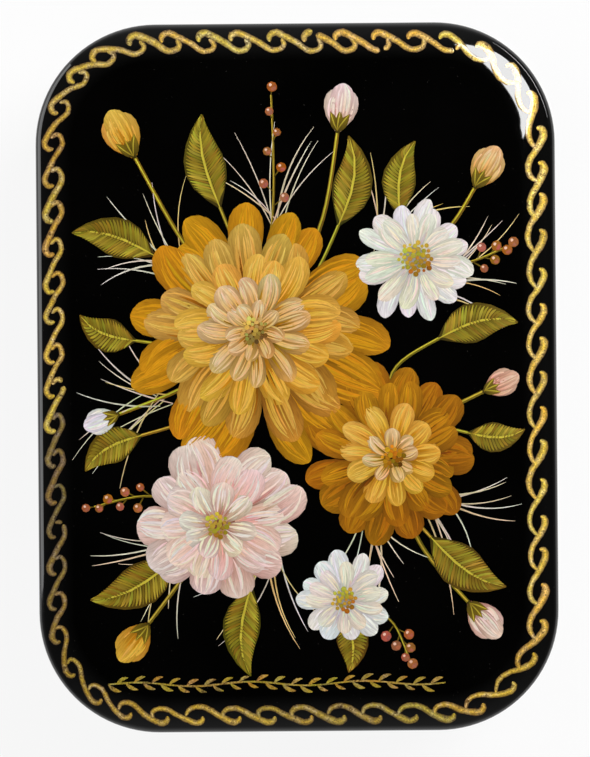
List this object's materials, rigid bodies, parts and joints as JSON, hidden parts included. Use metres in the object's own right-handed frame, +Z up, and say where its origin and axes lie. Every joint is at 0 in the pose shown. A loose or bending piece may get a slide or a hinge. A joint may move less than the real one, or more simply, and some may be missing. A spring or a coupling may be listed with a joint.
{
  "type": "trinket box",
  "caption": "Small lacquered trinket box of wound papier-mache: rounded rectangular body with an inner lip, and a domed lid on a let-in brass hinge.",
  "frame": {"origin": "centre of the underside, on the surface that the box stands on", "axes": "+Z up through the lid, +Y along the box's length towards the top of the lid's picture, +X along its width away from the hinge"},
  "size_m": [0.055, 0.075, 0.0311],
  "materials": {
    "black_lacquer": "polished",
    "red_lacquer": "gloss",
    "brass": "satin"
  },
  "bodies": {
    "base": {"body_wall": "black_lacquer", "floor_panel": "black_lacquer", "lip_liner": "red_lacquer", "hinge_body_leaf": "brass", "hinge_pin": "brass", "body_nail_1": "brass", "body_nail_2": "brass"},
    "lid": {"lid_rim": "black_lacquer", "lid_panel": "black_lacquer", "hinge_lid_leaf": "brass", "lid_nail_1": "brass", "lid_nail_2": "brass"}
  },
  "joints": [
    {"name": "lid_hinge", "type": "hinge", "parent": "base", "child": "lid", "pos_m": [-0.0264, 0, 0.021], "axis": [0, -1, 0], "range_deg": [0, 100]}
  ]
}
